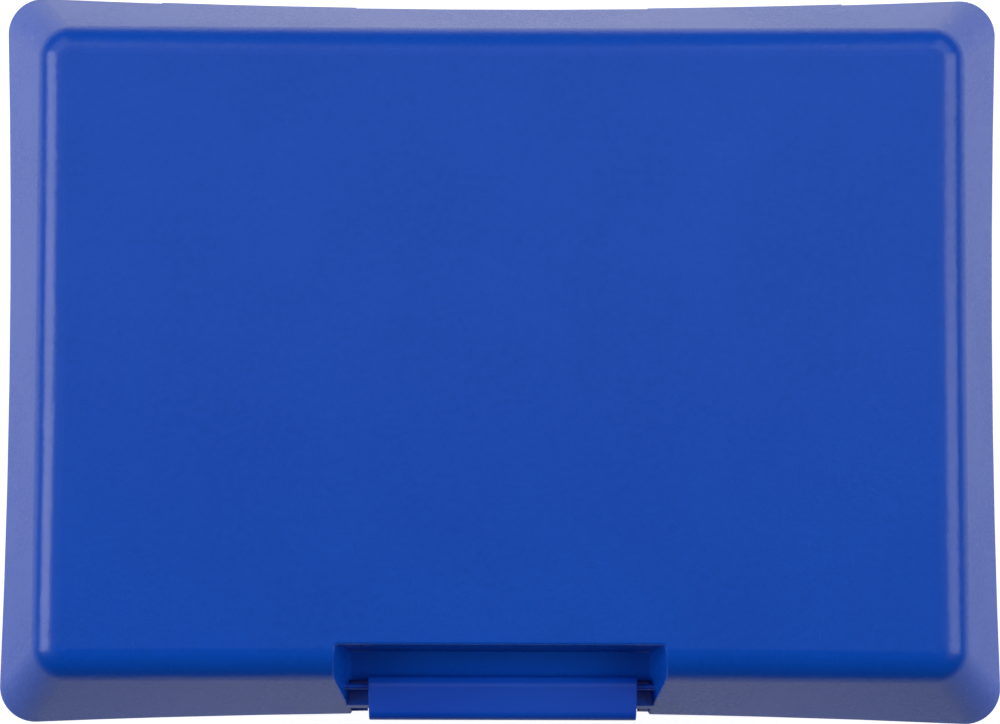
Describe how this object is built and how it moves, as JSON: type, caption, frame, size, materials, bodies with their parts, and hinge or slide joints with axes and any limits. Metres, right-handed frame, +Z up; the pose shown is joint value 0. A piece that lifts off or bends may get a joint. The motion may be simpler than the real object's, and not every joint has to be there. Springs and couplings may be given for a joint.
{
  "type": "bento lunch box",
  "caption": "Shallow rectangular lunch box with a hinged, skirted lid, a front snap clip in a notch, a soft seal, and a lift-out tray with a divider and dip cup.",
  "frame": {"origin": "on the resting plane, under the middle of the box", "axes": "+X along the width to the right, +Y from the clip at the front towards the hinge at the back, +Z up"},
  "size_m": [0.1796, 0.1312, 0.06],
  "materials": {
    "shell_blue": "fine matte grain, satin edges",
    "seal_silicone": "translucent grey silicone, matte",
    "pin_steel": "drawn steel rod",
    "clip_pin_blue": "moulded plastic stub",
    "tray_white": "pale satin plastic",
    "divider_green": "soft satin plastic",
    "cup_clear": "milky polypropylene",
    "cup_lid_green": "soft satin plastic"
  },
  "bodies": {
    "base": {"base_shell": "shell_blue", "hinge_pins": "pin_steel", "food_tray": "tray_white", "tray_divider": "divider_green", "sauce_cup": "cup_clear", "sauce_cup_lid": "cup_lid_green"},
    "lid": {"lid_shell": "shell_blue", "lid_seal": "seal_silicone", "latch_pins": "clip_pin_blue"},
    "latch": {"latch_clip": "shell_blue"}
  },
  "joints": [
    {"name": "lid_hinge", "type": "hinge", "parent": "base", "child": "lid", "pos_m": [0, 0.06235, 0.0387], "axis": [-1, 0, 0], "range_deg": [0, 115]},
    {"name": "latch_hinge", "type": "hinge", "parent": "lid", "child": "latch", "pos_m": [0, -0.05905, 0.0485], "axis": [-1, 0, 0], "range_deg": [0, 120]}
  ]
}
